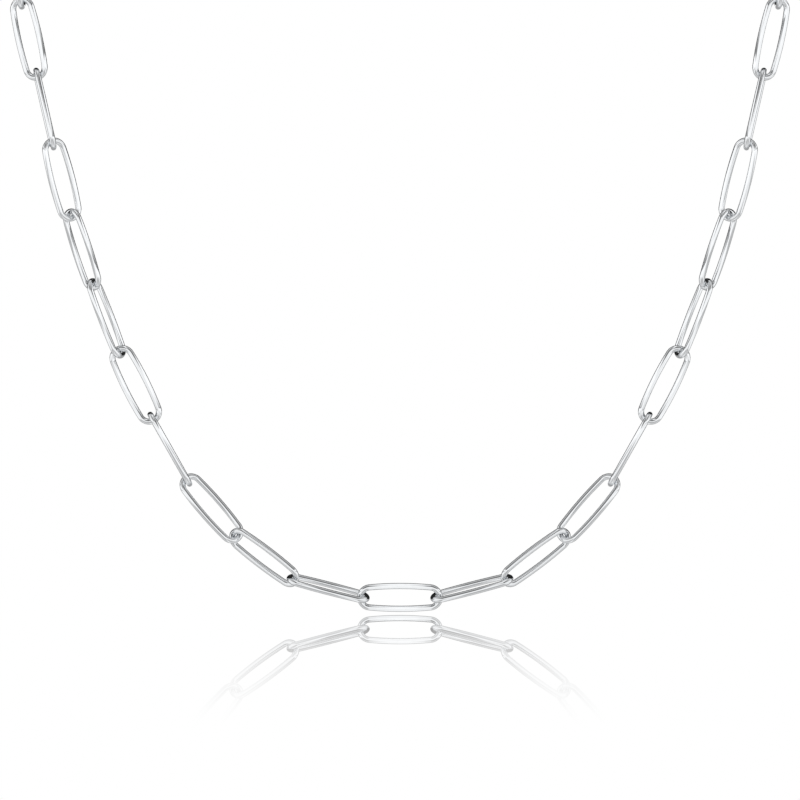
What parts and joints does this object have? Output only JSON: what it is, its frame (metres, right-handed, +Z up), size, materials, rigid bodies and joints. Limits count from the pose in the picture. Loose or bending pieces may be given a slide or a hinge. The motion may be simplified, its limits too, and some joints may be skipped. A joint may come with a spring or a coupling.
{
  "type": "paperclip chain necklace",
  "caption": "Necklace of long oval links in polished round silver wire, closed at the nape by a plain lobster clasp, in the form it takes when hung round a neck.",
  "frame": {"origin": "centre of the arc in which the chain lies round the neck, level with its sides", "axes": "+X to the right as seen from the front, +Y to the nape, +Z up along the neck"},
  "size_m": [0.1174, 0.0719, 0.1299],
  "materials": {
    "link_silver": "bright polished silver wire",
    "clasp_silver": "cast silver, tumbled to a softer polish"
  },
  "bodies": {
    "root": {"link_mid": "link_silver", "link_r01": "link_silver", "link_r02": "link_silver", "link_r03": "link_silver", "link_r04": "link_silver", "link_r05": "link_silver", "link_r06": "link_silver", "link_r07": "link_silver", "link_r08": "link_silver", "link_r09": "link_silver", "link_r10": "link_silver", "link_r11": "link_silver", "link_r12": "link_silver", "link_r13": "link_silver", "link_r14": "link_silver", "link_r15": "link_silver", "link_r16": "link_silver", "link_r17": "link_silver", "link_r18": "link_silver", "link_r19": "link_silver", "link_r20": "link_silver", "link_l01": "link_silver", "link_l02": "link_silver", "link_l03": "link_silver", "link_l04": "link_silver", "link_l05": "link_silver", "link_l06": "link_silver", "link_l07": "link_silver", "link_l08": "link_silver", "link_l09": "link_silver", "link_l10": "link_silver", "link_l11": "link_silver", "link_l12": "link_silver", "link_l13": "link_silver", "link_l14": "link_silver", "link_l15": "link_silver", "link_l16": "link_silver", "link_l17": "link_silver", "link_l18": "link_silver", "link_l19": "link_silver", "link_l20": "link_silver", "clasp_ring_r": "clasp_silver", "clasp_ring_l": "clasp_silver", "clasp": "clasp_silver"}
  },
  "joints": []
}
